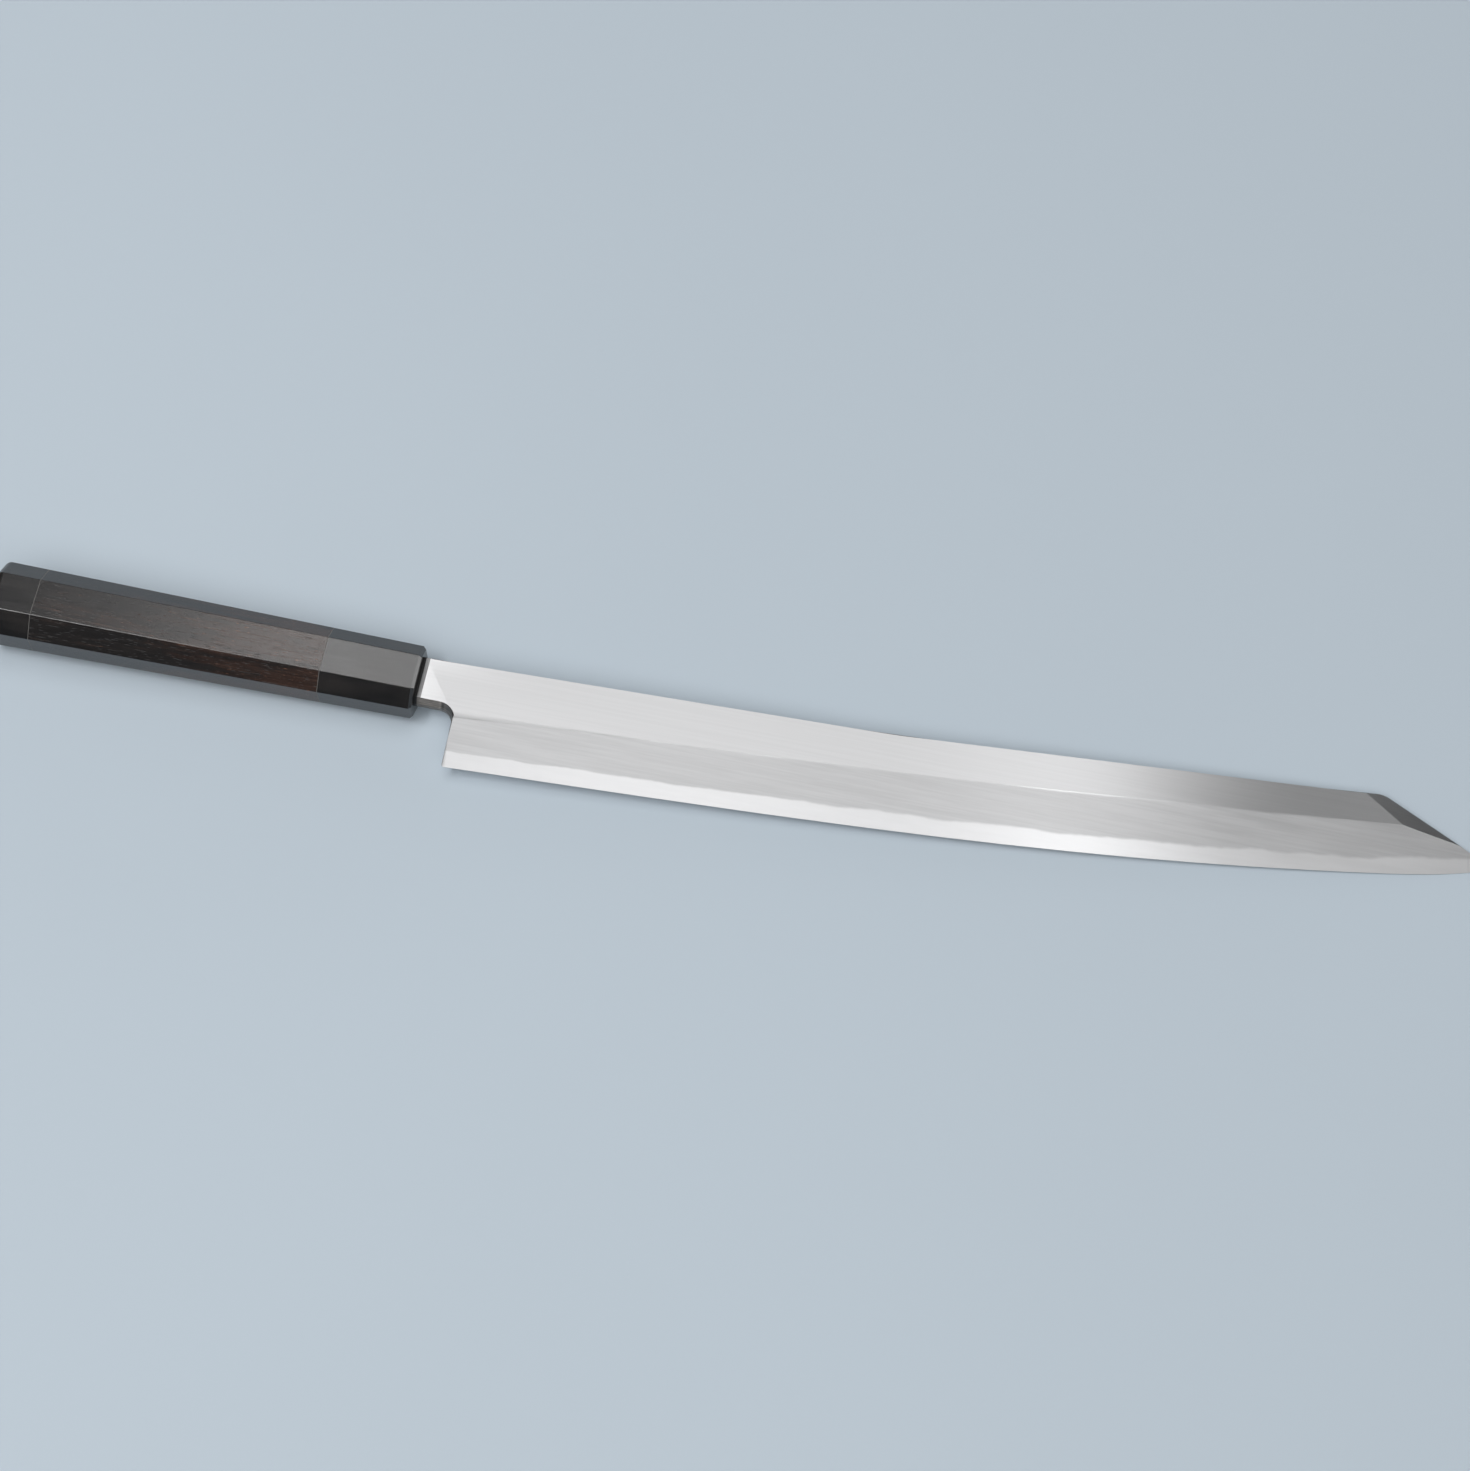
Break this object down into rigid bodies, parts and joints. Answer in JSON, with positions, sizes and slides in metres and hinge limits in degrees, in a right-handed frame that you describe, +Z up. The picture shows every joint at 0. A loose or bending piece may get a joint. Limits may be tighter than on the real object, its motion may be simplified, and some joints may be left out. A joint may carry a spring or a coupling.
{
  "type": "yanagiba knife",
  "caption": "Long slicing knife: single-bevel laminated blade with an angled tip and hollow back, on a tapering octagonal wooden handle with horn ferrule and butt cap",
  "frame": {"origin": "Middle of the bounding box's bottom, on the surface that the knife lies on. It lies with its front face up, touching the surface with the ferrule's lower front edge and the tip.", "axes": "+X runs along the handle towards the tip, +Y from the cutting edge towards the spine, +Z up, out of the blade's front face but for the one degree that the knife is tipped."},
  "size_m": [0.4798, 0.0498, 0.021],
  "materials": {
    "soft_iron": "fine brushed iron, lengthwise on the flat and matte on the bevel",
    "hard_steel": "brighter, finely polished steel",
    "black_horn": "polished black buffalo horn",
    "dark_wood": "satin ebony with fine lengthwise grain",
    "dowel_wood": "bare pale wood",
    "adhesive": "cured adhesive",
    "seal": "cured dark resin"
  },
  "bodies": {
    "root": {"blade_cladding": "soft_iron", "blade_edge_steel": "hard_steel", "mouth_seal": "seal", "tang_bedding": "adhesive", "core_dowel": "dowel_wood", "ferrule": "black_horn", "ferrule_glue_line": "adhesive", "handle_body": "dark_wood", "cap_glue_line": "adhesive", "cap_pin": "dowel_wood", "butt_cap": "black_horn"}
  },
  "joints": []
}
